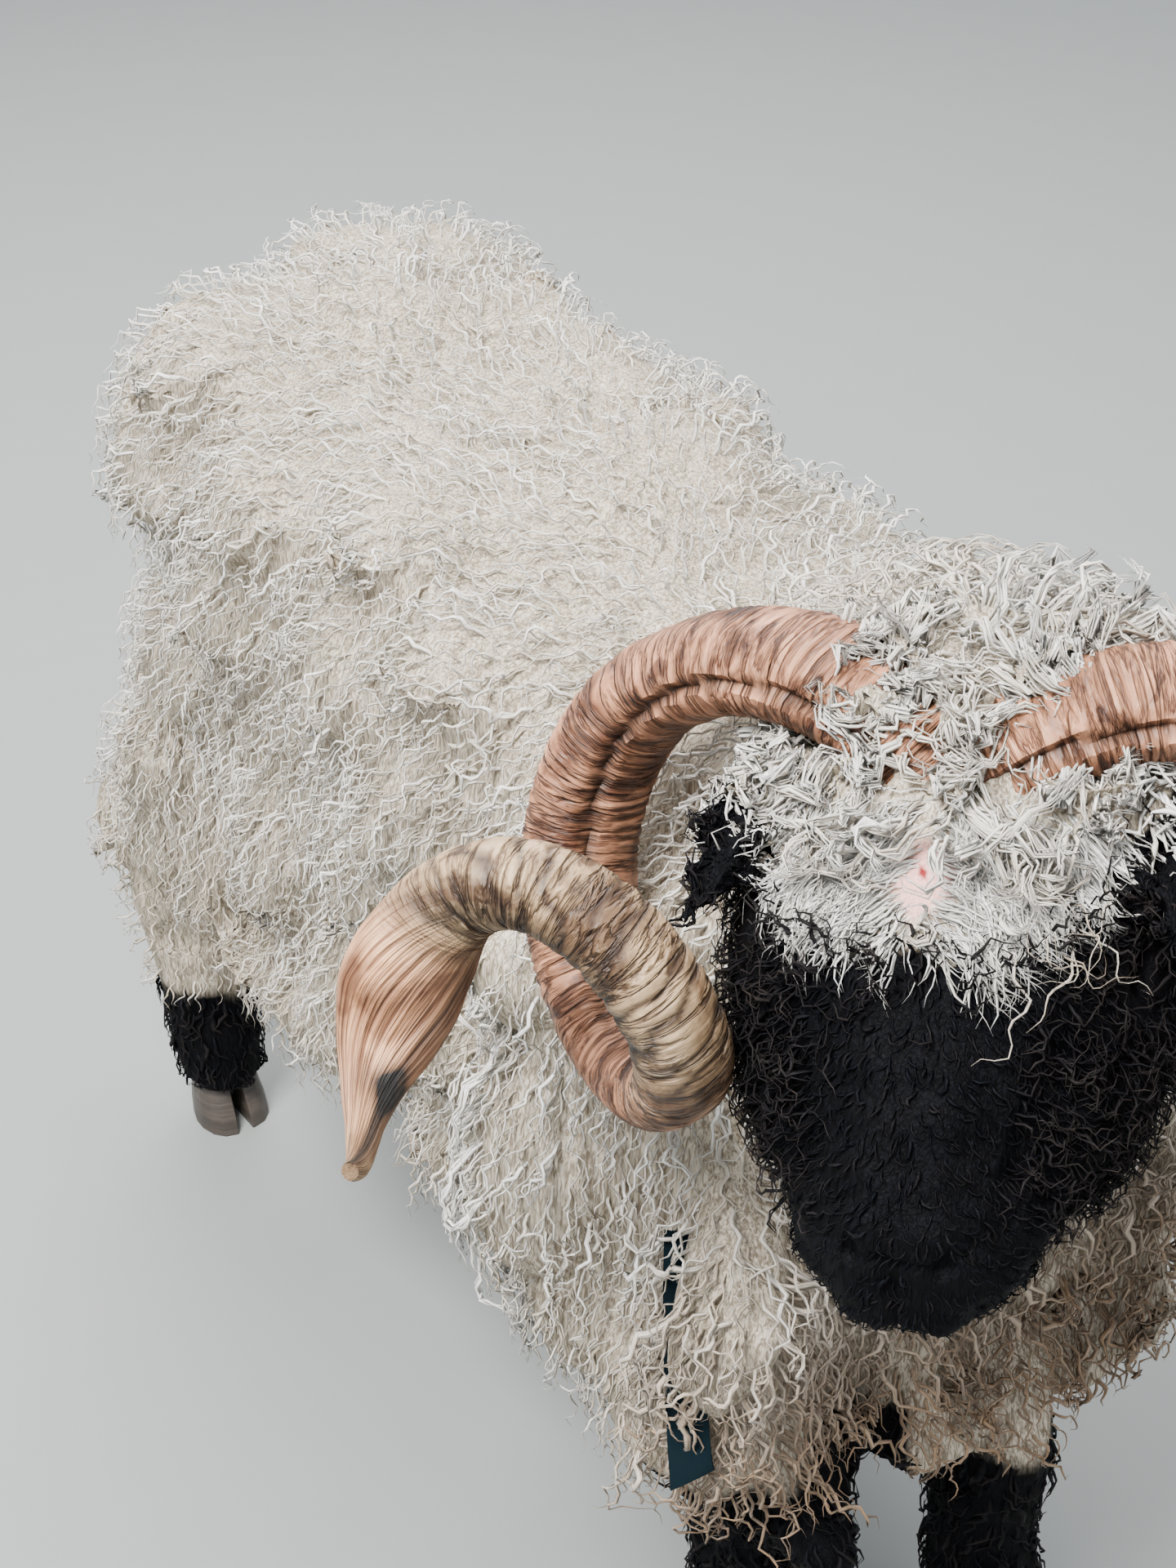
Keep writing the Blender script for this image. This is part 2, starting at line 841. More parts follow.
@dataclass
class Skin:
    """One skin for all flesh, inside the wool."""

    name: str = "skin"
    body_voxel: float = 0.0075
    head_voxel: float = 0.0027
    trunk_depth: float = 0.017
    leg_depth: float = 0.006
    tail_depth: float = 0.010
    head_depth: float = 0.0015
    rump: Triple = (0.000, 0.555, 0.760)
    rump_reach: Triple = (0.115, 0.17, 0.15)
    rump_rise: float = 0.038
    curtain_rise: float = 0.042
    smoothing: int = 30
    # Rise, place, reach and lowest z of brow's edge, hollow below the eye, nostril's wing and cheek
    head_forms: tuple[tuple[float, tuple[float, float], tuple[float, float], float], ...] = (
        (0.005, (0.072, -0.106), (0.018, 0.014), -0.06),
        (-0.005, (0.068, -0.178), (0.020, 0.025), -0.07),
        (0.0035, (0.021, -0.258), (0.010, 0.008), -0.04),
        (-0.013, (0.060, -0.230), (0.026, 0.042), -0.09))
    body: bpy.types.Object = field(init=False)
    head: bpy.types.Object = field(init=False)

    def melt(self, name: str, nodes: Sequence[str], voxel: float) -> bpy.types.Object:
        """Melt copies of CAD nodes into one closed shell, without the crumbs beside it.

        Args:
            name: Name of the shell.
            nodes: The nodes that it covers.
            voxel: Size of its faces.

        Returns:
            The shell.
        """
        thing = copy_nodes(name, nodes)
        apply_modifier(thing, "REMESH", mode="VOXEL", voxel_size=voxel)
        bpy.ops.object.mode_set(mode="EDIT")
        bpy.ops.mesh.select_mode(type="VERT")
        bpy.ops.mesh.select_all(action="DESELECT")
        bpy.ops.object.mode_set(mode="OBJECT")
        thing.data.vertices[int(np.argmin(vertices_of(thing)[:, 2]))].select = True
        bpy.ops.object.mode_set(mode="EDIT")
        bpy.ops.mesh.select_linked()
        bpy.ops.mesh.select_all(action="INVERT")
        bpy.ops.mesh.delete(type="VERT")
        bpy.ops.object.mode_set(mode="OBJECT")
        return thing

    def shape_body(self) -> None:
        """Smooth the clumps away, sink the skin to the wool's roots and hang a fuller shoulder."""
        body = self.body
        own = to_own(vertices_of(body))
        trunk = smooth_step(own[:, 2], 0.29, 0.36) * (1 - 0.85 * smooth_step(own[:, 1], 0.49, 0.52))
        group = body.vertex_groups.new(name="trunk")
        for k, value in enumerate(trunk):
            group.add((k,), float(value), "REPLACE")
        apply_modifier(body, "SMOOTH", factor=0.5, iterations=self.smoothing, vertex_group="trunk")
        apply_modifier(body, "SMOOTH", factor=0.5, iterations=5)
        body.vertex_groups.clear()
        places, normals = vertices_of(body), normals_of(body)
        own = to_own(places)
        trunk = smooth_step(own[:, 2], 0.27, 0.36)
        rear = smooth_step(own[:, 1], 0.49, 0.53)
        depth = self.leg_depth + (self.trunk_depth - self.leg_depth) * trunk
        depth = depth * (1 - rear) + self.tail_depth * rear
        ahead = curtain_front(places)
        curtain = smooth_step(ahead, -0.004, 0.014) * (1 - 0.7 * smooth_step(ahead, 0.05, 0.16))
        curtain *= smooth_step(own[:, 2], 0.30, 0.36) * (1 - smooth_step(own[:, 2], 0.64, 0.74))
        side = smooth_step(np.abs(own[:, 0]), 0.11, 0.15) * np.where(own[:, 0] > 0, 0.3, 1.0)
        rump = np.exp(-np.sum(((own - np.array(self.rump)) / np.array(self.rump_reach)) ** 2, axis=1))
        push = self.curtain_rise * curtain * side + self.rump_rise * rump - depth
        move_vertices(body, places + normals * push[:, None])

    def shape_head(self) -> None:
        """Add the brow's edge, the cheek's hollow, the chin and the wings of the nostrils."""
        head = self.head
        apply_modifier(head, "SMOOTH", factor=0.5, iterations=4)
        places, normals = vertices_of(head), normals_of(head)
        local = to_head(places)
        x, y, z = local.T
        wide = np.abs(x)
        push = np.full(len(places), -self.head_depth)
        push -= 0.012 * smooth_step(y, -0.13, -0.09) * smooth_step(z, -0.06, -0.02)
        for rise, (side, mid), (wide_reach, long_reach), lowest in self.head_forms:
            away = ((wide - side) / wide_reach) ** 2 + ((y - mid) / long_reach) ** 2
            push += rise * np.exp(-away) * (z > lowest)
        chin = (x / 0.020) ** 2 + ((y + 0.290) / 0.010) ** 2 + ((z + 0.066) / 0.010) ** 2
        push += 0.0030 * np.exp(-chin)
        push -= 0.0030 * np.exp(-((x / 0.003) ** 2)) * smooth_step(-y, 0.272, 0.286) * (z > -0.06)
        nose = smooth_step(-y, 0.16, 0.20) * (z > -0.03) * (y > -0.27)
        push += 0.004 * np.exp(-(x / 0.022) ** 2) * nose
        push -= 0.004 * np.exp(-((z + 0.058) / 0.0035) ** 2) * smooth_step(-y, 0.235, 0.25)
        push += 0.0012 * ripple(local, 0.030, 0.4) * smooth_step(-y, 0.14, 0.2)
        move_vertices(head, places + normals * push[:, None])

    def build(self) -> None:
        """Make the shells of body and head, on which the wool grows."""
        uppers = [leg + "_upper" for leg in LEGS]
        lowers = [leg + "_lower" for leg in LEGS]
        self.body = self.melt("body_skin", ["torso", "neck", "tail"] + uppers + lowers, self.body_voxel)
        self.head = self.melt("head_skin", ["head", "ear_left", "ear_right"], self.head_voxel)
        self.shape_body()
        self.shape_head()

    def join(self) -> None:
        """Fuse the shells into one skin without a seam, once the wool has grown, and paint it."""
        tree = BVHTree.FromObject(self.head, bpy.context.evaluated_depsgraph_get())
        apply_modifier(self.body, "BOOLEAN", operation="UNION", solver="MANIFOLD", object=self.head)
        bpy.data.objects.remove(self.head, do_unlink=True)
        skin = self.body
        skin.name = self.name
        places = vertices_of(skin)
        on_head = np.array([tree.find_nearest(place)[3] < ON_HEAD for place in places])
        black = np.where(on_head, black_on_head(places), black_on_body(places))
        bare = bare_brow(places) * on_head
        local = to_head(places)
        dot = np.hypot(local[:, 0] - BARE_SPOT[0], local[:, 1] - BARE_SPOT[1] - SORE_AHEAD) < SORE_REACH
        paint(skin, "tint", columns(0.5, bare, dot * on_head, black))
        select_only(skin)
        bpy.ops.object.shade_smooth()
        flesh = ["torso", "neck", "tail", "head", "ear_left", "ear_right"]
        flesh += [leg + end for leg in LEGS for end in ("_upper", "_lower")]
        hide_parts(*flesh)
        dress(skin, HideFinish().material)


# ---- wool ----------------------------------------------------------------------------------------------


@dataclass(frozen=True)
class LockStyle:
    """Sizes of one kind of lock, in metres and radians.

    A lock starts root below the skin, rises to between deep and deep plus lift over it, waves by swing
    every wave, turns by hook and sags by hang. Strays lie across the flow, more so on the back by ruffle.
    Low locks are darker by shade, and a clump is a few strands that lie together, up to spread apart.
    """

    wool: Wool
    count: int
    length: float
    width: float
    thickness: float
    steps: int
    wave: float
    swing: float
    lift: float
    hook: float = 0.0
    hang: float = 0.0
    stray: float = 0.25
    root: float = 0.003
    deep: float = 0.0
    ruffle: float = 0.0
    shade: float = 0.15
    clump: int = 1
    spread: float = 0.004


@dataclass(frozen=True)
class Ground:
    """Where a kind of lock grows and how it lies there."""

    shell: bpy.types.Object
    weight: Field
    flow: Field
    tint: Field
    unwrap: Field
    length: Field


@dataclass
class Locks:
    """Locks of one kind, grown on one shell of the skin and joined into meshes.

    A lock reaches its height by rise_rate, starts to turn at hook_start by hook_gain, hangs free where
    the skin faces down more than underside, and takes no step longer than longest_step times its own.
    """

    title: str
    style: LockStyle
    ground: Ground
    seed: int
    bare: np.ndarray
    rise_rate: float = 1.6
    hook_start: float = 0.35
    hook_gain: float = 1.9
    underside: float = -0.5
    longest_step: float = 1.3
    back: tuple[float, float] = (0.70, 0.82)
    margin: float = 0.04
    chunk: int = 400
    faces_per_piece: int = 190000

    def roots(self, rng: np.random.Generator) -> tuple[np.ndarray, np.ndarray]:
        """Spread roots evenly over the shell, denser where the weight is more.

        Args:
            rng: Source of chance.

        Returns:
            Places and normals of the roots.
        """
        mesh = self.ground.shell.data
        mesh.calc_loop_triangles()
        corners = np.empty(len(mesh.loop_triangles) * 3, dtype=np.int32)
        mesh.loop_triangles.foreach_get("vertices", corners)
        corners = corners.reshape(-1, 3)
        places = vertices_of(self.ground.shell)
        a, b, c = (places[corners[:, k]] for k in range(3))
        cross = np.cross(b - a, c - a)
        areas = np.linalg.norm(cross, axis=1) / 2
        total = np.cumsum(areas * self.ground.weight((a + b + c) / 3))
        count = self.style.count // self.style.clump
        picks = (np.arange(count) + rng.uniform(0, 1, count)) / count
        faces = np.searchsorted(total, picks * total[-1] * 0.999999)
        u, v = rng.uniform(0, 1, (2, len(faces)))
        flip = u + v > 1
        u[flip], v[flip] = 1 - u[flip], 1 - v[flip]
        spots = a[faces] + (b - a)[faces] * u[:, None] + (c - a)[faces] * v[:, None]
        return spots, unit(cross[faces])

    def paths(self, spots: np.ndarray, normals: np.ndarray, lengths: np.ndarray, rise: np.ndarray,
              rng: np.random.Generator) -> tuple[np.ndarray, np.ndarray]:
        """Lead each lock along the skin, rising, curling to its hook and hanging free below the body.

        Args:
            spots: Places of the roots.
            normals: Normals there.
            lengths: Length of each lock.
            rise: How high each lock stands, from 0 to 1.
            rng: Source of chance.

        Returns:
            Points along each lock and the skin's normals there.
        """
        style = self.style
        tree = BVHTree.FromObject(self.ground.shell, bpy.context.evaluated_depsgraph_get())
        ways = self.ground.flow(spots)
        ways = unit(ways - normals * np.sum(ways * normals, axis=1, keepdims=True))
        sides = np.cross(normals, ways)
        turn = rng.normal(0, style.stray, len(spots))
        turn *= 1 + style.ruffle * smooth_step(spots[:, 2], *self.back)
        turn += 0.18 * ripple(spots, 0.11, 3.3)
        ways = ways * np.cos(turn)[:, None] + sides * np.sin(turn)[:, None]
        heights = style.lift * rise + style.deep
        hooks = style.hook * rng.uniform(0.3, 1.3, len(spots))
        hooks *= np.where(rng.uniform(0, 1, len(spots)) < 0.5, -1, 1)
        points = np.empty((len(spots), style.steps + 1, 3))
        skin_normals = np.empty_like(points)
        down = Vector((0, 0, -1))
        for i in range(len(spots)):
            way, normal = Vector(ways[i]), Vector(normals[i])
            step = lengths[i] / style.steps
            here = Vector(spots[i]) - normal * style.root
            points[i, 0], skin_normals[i, 0] = here, normal
            for k in range(1, style.steps + 1):
                share = k / style.steps
                reach = heights[i] * (1 - (1 - min(1.0, share * self.rise_rate)) ** 2)
                if share > self.hook_start and style.hook:
                    bend = hooks[i] * share * self.hook_gain / style.steps
                    way = Matrix.Rotation(bend, 3, normal) @ way
                ahead = here + (way + down * (style.hang * share)).normalized() * step
                near, found = tree.find_nearest(ahead)[:2]
                if found.z > self.underside or not style.hang:
                    normal = (normal + found).normalized()
                    ahead = near + found * reach
                    way = (ahead - here).normalized()
                else:
                    way = (way + down).normalized()
                    ahead = here + way * step
                move = ahead - here
                here = here + move * min(1.0, self.longest_step * step / max(move.length, 1e-6))
                points[i, k], skin_normals[i, k] = here, normal
        return points, skin_normals

    def clear(self, points: np.ndarray) -> np.ndarray:
        """Find the locks that run through no horn and not over the bare spot.

        Args:
            points: Points along each lock.

        Returns:
            True for each lock that stays.
        """
        keep = np.ones(len(points), dtype=bool)
        low, high = self.bare[:, :3].min(0) - self.margin, self.bare[:, :3].max(0) + self.margin
        near = np.nonzero(((points[:, -1] > low) & (points[:, -1] < high)).all(1))[0]
        for part in np.array_split(near, len(near) // self.chunk + 1):
            rows = points[part, 1:, None]
            gaps = np.linalg.norm(rows - self.bare[:, :3], axis=-1) - self.bare[:, 3]
            keep[part] = (gaps > 0).all(axis=(1, 2))
        return keep

    def build(self) -> None:
        """Grow the locks and join them into pieces."""
        rng = np.random.default_rng(self.seed)
        style = self.style
        spots, normals = self.roots(rng)
        lengths = style.length * rng.uniform(0.7, 1.2, len(spots)) * self.ground.length(spots)
        rise = rng.uniform(0.1, 1.0, len(spots))
        points, ups = self.paths(spots, normals, lengths, rise, rng)
        keep = self.clear(points)
        own_phase = 2.2 * ripple(spots, 0.11, 4.4) + rng.normal(0, 0.6, len(spots))
        spots, lengths, points, ups, rise, own_phase = (
            np.repeat(rows[keep], style.clump, axis=0)
            for rows in (spots, lengths, points, ups, rise, own_phase))
        count = len(spots)
        ahead = unit(np.gradient(points, axis=1))
        sides = unit(np.cross(ahead, ups))
        ups = np.cross(sides, ahead)
        share = np.linspace(0, 1, style.steps + 1)[None, :]
        if style.clump > 1:
            apart = rng.uniform(-style.spread, style.spread, (2, count, 1)) * (1 - 0.7 * share ** 1.5)
            points = points + sides * apart[0][..., None] + ups * (0.5 * apart[1])[..., None]
        phase = 2 * math.pi * (lengths[:, None] * share / style.wave)
        phase = phase + (own_phase + rng.normal(0, 0.35, count))[:, None]
        grow = np.minimum(1.0, share * 2.5)
        swing = style.swing * rng.uniform(0.6, 1.3, count)[:, None] * grow
        points = points + sides * (np.sin(phase) * swing)[..., None]
        points = points + ups * (np.cos(phase) * swing * 0.6)[..., None]
        taper = (0.75 + 0.25 * np.sin(math.pi * np.minimum(1.0, share * 1.3))) * (1 - share ** 3) + 0.10
        widths = style.width * (0.6 + 1.1 * rng.uniform(0, 1, count) ** 3)[:, None] * taper
        thick = style.thickness * taper * np.ones((count, 1))
        tints = self.ground.tint(spots)
        tints[:, 0] = np.clip(tints[:, 0] + rng.normal(0, 0.12, count) - style.shade * (1 - rise), 0, 1)
        places = self.ground.unwrap(spots)
        white = style.wool in (Wool.FLEECE, Wool.TOPKNOT)
        pieces = math.ceil(count * (style.steps * 6 + 2) / self.faces_per_piece)
        for k, part in enumerate(np.array_split(np.arange(count), pieces)):
            thing = lock_mesh(f"{self.title}_{k + 1}", points[part], sides[part], ups[part], widths[part],
                              thick[part], tints[part], places[part])
            dress(thing, wool_material(white))


@cache
def wool_material(white: bool) -> bpy.types.Material:
    """One material for all white wool, and one for all black wool."""
    return WoolFinish().material if white else BlackWoolFinish().material


# Width of a lock's patch on the skin's unwrap, and how far apart two locks' patches of strands lie
PATCH = 0.003
STRAND_STEP = np.array([0.37, 0.61])


def lock_mesh(name: str, points: np.ndarray, sides: np.ndarray, ups: np.ndarray, widths: np.ndarray,
              thick: np.ndarray, tints: np.ndarray, places: np.ndarray) -> bpy.types.Object:
    """Join locks with three-cornered sections into one mesh.

    Args:
        name: Name of the mesh.
        points: Points along each lock.
        sides: Directions across each lock.
        ups: Directions out of the skin.
        widths: Widths along each lock.
        thick: Thicknesses along each lock.
        tints: Tone, a spare, dirt and black of each lock.
        places: Place of each root on the skin's unwrap.

    Returns:
        The mesh's object.
    """
    count, rings = points.shape[:2]
    out = np.empty((count, rings, 3, 3))
    out[:, :, 0] = points - sides * (widths / 2)[..., None] - ups * (thick / 3)[..., None]
    out[:, :, 1] = points + sides * (widths / 2)[..., None] - ups * (thick / 3)[..., None]
    out[:, :, 2] = points + ups * (thick * 2 / 3)[..., None]
    ring = np.arange(rings - 1)[:, None] * 3
    corner = np.arange(3)[None, :]
    following = (corner + 1) % 3
    quads = np.stack([ring + corner, ring + following, ring + 3 + following, ring + 3 + corner], 2)
    quads = quads.reshape(-1, 4)
    top = (rings - 1) * 3
    caps = np.array([[0, 2, 1], [top, top + 1, top + 2]])
    offset = np.arange(count)[:, None, None] * rings * 3
    loops = np.concatenate([(rows[None] + offset).reshape(count, -1) for rows in (quads, caps)], 1)
    sizes = np.concatenate([np.full(len(quads), 4), np.full(2, 3)])
    mesh = bpy.data.meshes.new(name)
    mesh.vertices.add(count * rings * 3)
    mesh.vertices.foreach_set("co", out.astype(np.float32).ravel())
    mesh.loops.add(loops.size)
    mesh.loops.foreach_set("vertex_index", loops.ravel().astype(np.int32))
    all_sizes = np.tile(sizes, count)
    starts = np.concatenate([[0], np.cumsum(all_sizes)[:-1]])
    mesh.polygons.add(len(all_sizes))
    mesh.polygons.foreach_set("loop_start", starts.astype(np.int32))
    mesh.polygons.foreach_set("use_smooth", np.ones(len(all_sizes), dtype=bool))
    mesh.update(calc_edges=True)
    along = np.repeat(np.linspace(0, 1, rings), 3)
    across = np.tile(np.array([0.0, 1.0, 0.5]), rings)
    one = (loops[0]).astype(int)
    patch = columns(across[one], along[one])
    bake = places[:, None, :] + (patch[None] - 0.5) * PATCH
    strand = patch[None] + np.arange(count)[:, None, None] * STRAND_STEP
    for title, rows in (("OFBake", bake), ("Strand", strand)):
        layer = mesh.uv_layers.new(name=title)
        layer.uv.foreach_set("vector", rows.astype(np.float32).ravel())
    thing = new_thing(name, mesh)
    rows = np.repeat(tints, rings * 3, axis=0)
    rows[:, 1] = np.tile(along, count)
    rows[:, 2] = np.clip(rows[:, 2] + (0.05 + rows[:, 2]) * rows[:, 1] ** 3, 0, 1)
    paint(thing, "tint", rows)
    return thing


def unwrap_body(points: np.ndarray) -> np.ndarray:
    """Unwrap of the body: the trunk round its long axis above, the legs side by side below.

    Args:
        points: Places, one a row.

    Returns:
        Map coordinates.
    """
    own = to_own(points)
    round_trunk = np.arctan2(own[:, 0], own[:, 2] - 0.56) / (2 * math.pi)
    trunk = columns(0.5 + 0.96 * round_trunk, 0.62 + (own[:, 1] - 0.07) * 0.6)
    leg = nearest_leg(points)
    away = points[:, :2] - LEG_CENTRES[leg]
    round_leg = np.arctan2(away[:, 0], away[:, 1]) / (2 * math.pi)
    legs = columns((leg + 0.5 + 0.94 * round_leg) / 4, 0.01 + own[:, 2] * 0.7)
    return np.where(near_leg(points)[:, None], legs, trunk)


def unwrap_head(points: np.ndarray) -> np.ndarray:
    """Unwrap of the head, round its long axis.

    Args:
        points: Places, one a row.

    Returns:
        Map coordinates.
    """
    local = to_head(points)
    turn = np.arctan2(local[:, 0], local[:, 2] + 0.08)
    return columns(0.5 + turn / (2 * math.pi) * 0.96, 0.25 - local[:, 1] * 2.2)


def fleece_flow(spots: np.ndarray) -> np.ndarray:
    """How the fleece lies: off the back, down the sides and a little backward.

    Args:
        spots: Places of the roots.

    Returns:
        Directions, one a row.
    """
    own = to_own(spots)
    x, y, z = own.T
    back = smooth_step(z, 0.60, 0.74)
    backward = 0.10 + 0.75 * smooth_step(z, 0.38, 0.58)
    backward *= 1 - smooth_step(curtain_front(spots), -0.01, 0.03) * (1 - back)
    out = columns(0.8 * back * np.clip(x / 0.12, -1, 1), backward, -1.0 + 0.55 * back)
    neck = smooth_step(-y, 0.24, 0.36) * smooth_step(z, 0.66, 0.74)
    down_neck = columns(np.clip(x + 0.05, -0.1, 0.1) * 6, 0.75, -0.75)
    chest = smooth_step(-y, 0.33, 0.39) * (1 - neck)
    swirl = columns(*(ripple(own, 0.07, salt) for salt in (11.0, 12.0, 13.0)))
    out += swirl * (0.05 + 0.40 * back)[:, None]
    out = out * (1 - neck)[:, None] + down_neck * neck[:, None]
    return out * (1 - chest)[:, None] + np.array([0.0, -0.05, -1.0]) * chest[:, None]


def fleece_length(spots: np.ndarray) -> np.ndarray:
    """How long the fleece is: shorter on back, belly and legs.

    Args:
        spots: Places of the roots.

    Returns:
        Factors, one a row.
    """
    own = to_own(spots)
    back = smooth_step(own[:, 2], 0.76, 0.82)
    low = smooth_step(-own[:, 2], -0.33, -0.27)
    return (1.0 - 0.25 * back) * (1.0 - 0.35 * low * near_leg(spots)) * (1.0 - 0.15 * low)


def fleece_tint(spots: np.ndarray) -> np.ndarray:
    """Colour of the fleece: bright on the back, warm and stained low and on the chest.

    Args:
        spots: Places of the roots.

    Returns:
        Tone, a spare, dirt and black, one a row.
    """
    own = to_own(spots)
    low = smooth_step(-own[:, 2], -0.60, -0.26)
    chest = smooth_step(-own[:, 1], 0.30, 0.39) * smooth_step(-own[:, 2], -0.64, -0.48)
    front = curtain_front(spots)
    gap = smooth_step(front, -0.13, -0.06) * (front < 0) * (own[:, 0] < 0)
    gap *= smooth_step(-own[:, 2], -0.70, -0.62)
    tone = 1.0 - 0.34 * low - 0.40 * chest + 0.14 * ripple(spots, 0.16, 5.0) - 0.50 * gap
    dirt = 0.20 * gap + 0.12 * low + 0.65 * chest * low + 0.26 * chest + 0.07 * ripple(spots, 0.09, 6.1)
    return columns(np.clip(tone, 0, 1), 0.0, np.clip(dirt, 0.0, 0.85), 0.0)


def topknot_flow(spots: np.ndarray) -> np.ndarray:
    """How the topknot lies: outward from the top of the crown and round the bare spot on the brow.

    Args:
        spots: Places of the roots.

    Returns:
        Directions, one a row.
    """
    local = to_head(spots)
    x, y, _ = local.T
    away = unit(columns(x + 0.005, y - 0.025, 0.0))
    near = np.exp(-(((x - BARE_SPOT[0]) / 0.026) ** 2 + ((y - BARE_SPOT[1] - 0.012) / 0.030) ** 2))
    away[:, 0] += 2.2 * near * np.sign(x - BARE_SPOT[0])
    away += 0.45 * columns(ripple(local, 0.05, 7.0), ripple(local, 0.05, 8.0), 0.0)
    away[:, 2] -= 0.2
    return from_head(away)


def topknot_length(spots: np.ndarray) -> np.ndarray:
    """How long the topknot is: short on the brow and at its sides."""
    return 0.45 + 0.55 * smooth_step(white_margin(spots), 0.015, 0.075)


@dataclass(frozen=True)
class Patch:
    """A soft-edged patch of the head where some hair grows, in the head's frame."""

    x: float
    y: float
    reach: tuple[float, float]
    lowest: float
    mirrored: bool = False

    def __call__(self, spots: np.ndarray) -> np.ndarray:
        """Read how dense the hair is.

        Args:
            spots: Places, one a row.

        Returns:
            Density, one a row.
        """
        x, y, z = to_head(spots).T
        x = np.abs(x) if self.mirrored else x
        across, along = (x - self.x) / self.reach[0], (y - self.y) / self.reach[1]
        return np.exp(-(across ** 2 + along ** 2)) * (z > self.lowest)


EAR_FRINGE = Patch(0.100, -0.040, (0.012, 0.018), -0.10, mirrored=True)
STRAY_CURLS = Patch(0.055, -0.112, (0.020, 0.014), -0.05)
MANE = Patch(0.0, 0.075, (0.085, 0.040), -0.16)


def fringe_flow(spots: np.ndarray) -> np.ndarray:
    """The fringe hangs towards the cheek and a little outward."""
    return from_head(columns(0.35 * np.sign(to_head(spots)[:, 0]), -1.0, -0.1))


# Where the ears begin in the head's frame, and how the hair lies on them
EAR_SIDE = 0.088
EAR_FRONT = -0.14
EAR_LIE = np.array([0.0, -1.0, 0.2])


def face_flow(spots: np.ndarray) -> np.ndarray:
    """How the face's hair lies: from the ridge of the nose outward and towards the mouth.

    Args:
        spots: Places of the roots.

    Returns:
        Directions, one a row.
    """
    local = to_head(spots)
    x = local[:, 0]
    out = columns(np.clip(x / 0.05, -1, 1) * 0.7, -0.55, -0.35)
    out[(np.abs(x) > EAR_SIDE) & (local[:, 1] > EAR_FRONT)] = EAR_LIE
    return from_head(out)


def face_weight(spots: np.ndarray) -> np.ndarray:
    """Where the face's hair grows: on the black, but not on lids, nostrils and mouth.

    Args:
        spots: Places of the roots.

    Returns:
        Density, one a row.
    """
    x, y, z = to_head(spots).T
    wide = np.abs(x)
    eye = smooth_step(np.hypot(y - EYE_PLACE.y, z - EYE_PLACE.z), 0.014, 0.019)
    eye = np.maximum(eye, (wide < 0.05))
    nostril = np.sqrt((wide - 0.021) ** 2 + (y + 0.274) ** 2 + ((z + 0.014) * 0.7) ** 2)
    nostril = smooth_step(nostril, 0.009, 0.014)
    lips = smooth_step(np.hypot((y + 0.302) * 0.8, z + 0.058), 0.006, 0.010)
    return black_on_head(spots) * eye * nostril * lips


def boot_flow(spots: np.ndarray) -> np.ndarray:
    """The legs' wool hangs down."""
    return np.tile(np.array([0.0, 0.15, -1.0]), (len(spots), 1))


def crown_weight(spots: np.ndarray) -> np.ndarray:
    """Where the topknot's long locks grow: the white part of the head, off the brow.

    Args:
        spots: Places, one a row.

    Returns:
        Density, one a row.
    """
    white = (1 - black_on_head(spots)) * smooth_step(white_margin(spots), 0.016, 0.030)
    return white * (1 - bare_brow(spots)) * (1 + smooth_step(to_head(spots)[:, 1], -0.03, 0.0))


def brow_weight(spots: np.ndarray) -> np.ndarray:
    """Where the short white hair of the brow grows.

    Args:
        spots: Places, one a row.

    Returns:
        Density, one a row.
    """
    low = 1 - smooth_step(to_head(spots)[:, 1], -0.080, -0.055)
    return (1 - black_on_head(spots)) * low * smooth_step(white_margin(spots), 0.004, 0.012)


def cheek_weight(spots: np.ndarray) -> np.ndarray:
    """Where the black wool is long: cheeks, ears and the edge below the white brow.

    Args:
        spots: Places, one a row.

    Returns:
        Density, one a row.
    """
    x, y, _ = to_head(spots).T
    cheek = smooth_step(np.abs(x), 0.030, 0.060) * smooth_step(y, -0.26, -0.22)
    edge = np.exp(-((white_margin(spots) + 0.010) / 0.012) ** 2)
    return face_weight(spots) * np.clip(cheek + 1.2 * edge, 0, 1.5)


def cheek_flow(spots: np.ndarray) -> np.ndarray:
    """How the long black wool lies: over the brow's edge in the middle, down and outward on the cheeks.

    Args:
        spots: Places of the roots.

    Returns:
        Directions, one a row.
    """
    x = to_head(spots)[:, 0]
    edge = np.exp(-((white_margin(spots) + 0.010) / 0.012) ** 2)[:, None]
    rise = from_head(columns(np.clip(x / 0.06, -1, 1), 0.8, 0.2))
    return face_flow(spots) * (1 - edge) + rise * edge


def everywhere(spots: np.ndarray) -> np.ndarray:
    """One for each place."""
    return np.ones(len(spots))


def white_body(spots: np.ndarray) -> np.ndarray:
    """Where the fleece grows: all but the boots, thinner below the belly."""
    return (1 - black_on_body(spots)) * (0.65 + 0.35 * smooth_step(spots[:, 2], 0.28, 0.34))


def curtain_weight(spots: np.ndarray) -> np.ndarray:
    """Where the wool hangs over the edge between the right shoulder and the flank.

    Args:
        spots: Places, one a row.

    Returns:
        Density, one a row.
    """
    own = to_own(spots)
    near = np.exp(-((curtain_front(spots) - 0.010) / 0.010) ** 2) * (own[:, 0] < -0.10)
    return near * smooth_step(own[:, 2], 0.36, 0.40) * (1 - smooth_step(own[:, 2], 0.66, 0.72))


def chest_weight(spots: np.ndarray) -> np.ndarray:
    """Where the chest's curls grow.

    Args:
        spots: Places, one a row.

    Returns:
        Density, one a row.
    """
    own = to_own(spots)
    front = smooth_step(-own[:, 1], 0.30, 0.37) * (1 - smooth_step(own[:, 2], 0.60, 0.70))
    return front * white_body(spots)


